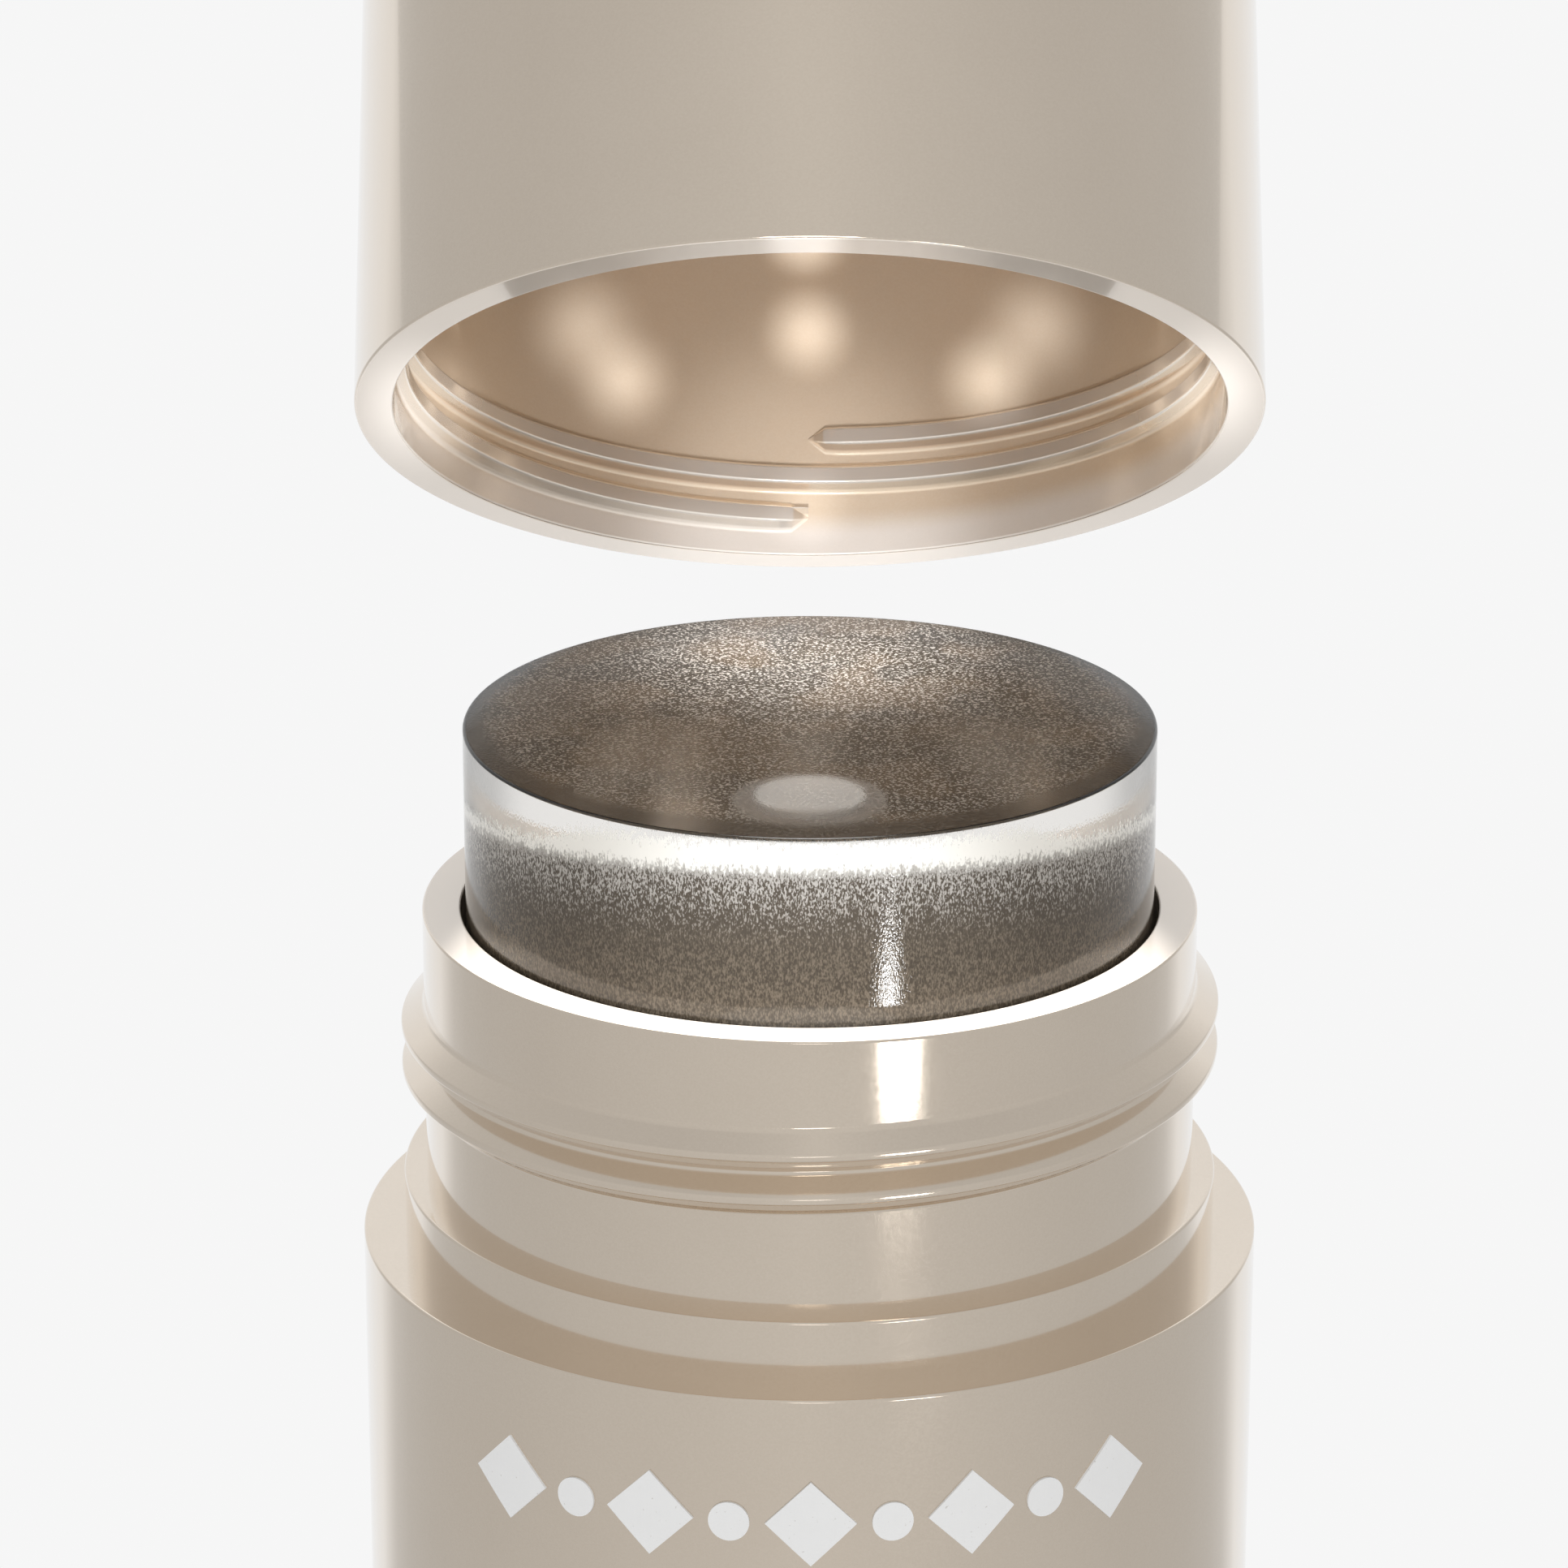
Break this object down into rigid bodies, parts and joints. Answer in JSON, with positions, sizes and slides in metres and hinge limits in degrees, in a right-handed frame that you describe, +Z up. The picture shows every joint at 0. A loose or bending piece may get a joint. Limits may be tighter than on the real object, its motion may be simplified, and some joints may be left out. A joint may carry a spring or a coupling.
{
  "type": "deodorant stick",
  "caption": "Round twist-up gel deodorant stick in pearl champagne, its threaded neck open and its screw cap taken off and tilted over it.",
  "frame": {"origin": "centre of the flat face that the pack stands on, on the pack's axis", "axes": "+Z up along the pack's axis, -Y towards the front, where the print marks are and where the cap's mouth looks, +X to the right"},
  "size_m": [0.045, 0.0703, 0.1555],
  "materials": {
    "pearl_shell": "gloss pearl champagne lacquer",
    "gel": "clear cast gel, wet gloss",
    "white_ink": "raised white screen print",
    "inner_moulding": "satin moulded"
  },
  "bodies": {
    "barrel": {"inner_barrel": "pearl_shell", "outer_sleeve": "pearl_shell", "base_plug": "inner_moulding", "print_marks": "white_ink"},
    "dial": {"dial_shell": "pearl_shell", "dial_core": "inner_moulding", "spindle": "inner_moulding"},
    "carriage": {"elevator": "inner_moulding", "gel_stick": "gel"},
    "cap": {"cap": "pearl_shell"}
  },
  "joints": [
    {"name": "dial_turn", "type": "hinge", "parent": "barrel", "child": "dial", "pos_m": [0, 0, 0], "axis": [0, 0, -1], "range_deg": [-900, 3600]},
    {"name": "stick_rise", "type": "slide", "parent": "barrel", "child": "carriage", "axis": [0, 0, 1], "range_m": [-0.01, 0.04]},
    {"name": "cap_lift", "type": "slide", "parent": "carriage", "child": "cap", "axis": [0, 0.6034, 0.7974], "range_m": [0, 0.03]}
  ],
  "couplings": [
    {"joint": "dial_turn", "follows": "stick_rise", "rad_per_m": 1570.8}
  ]
}
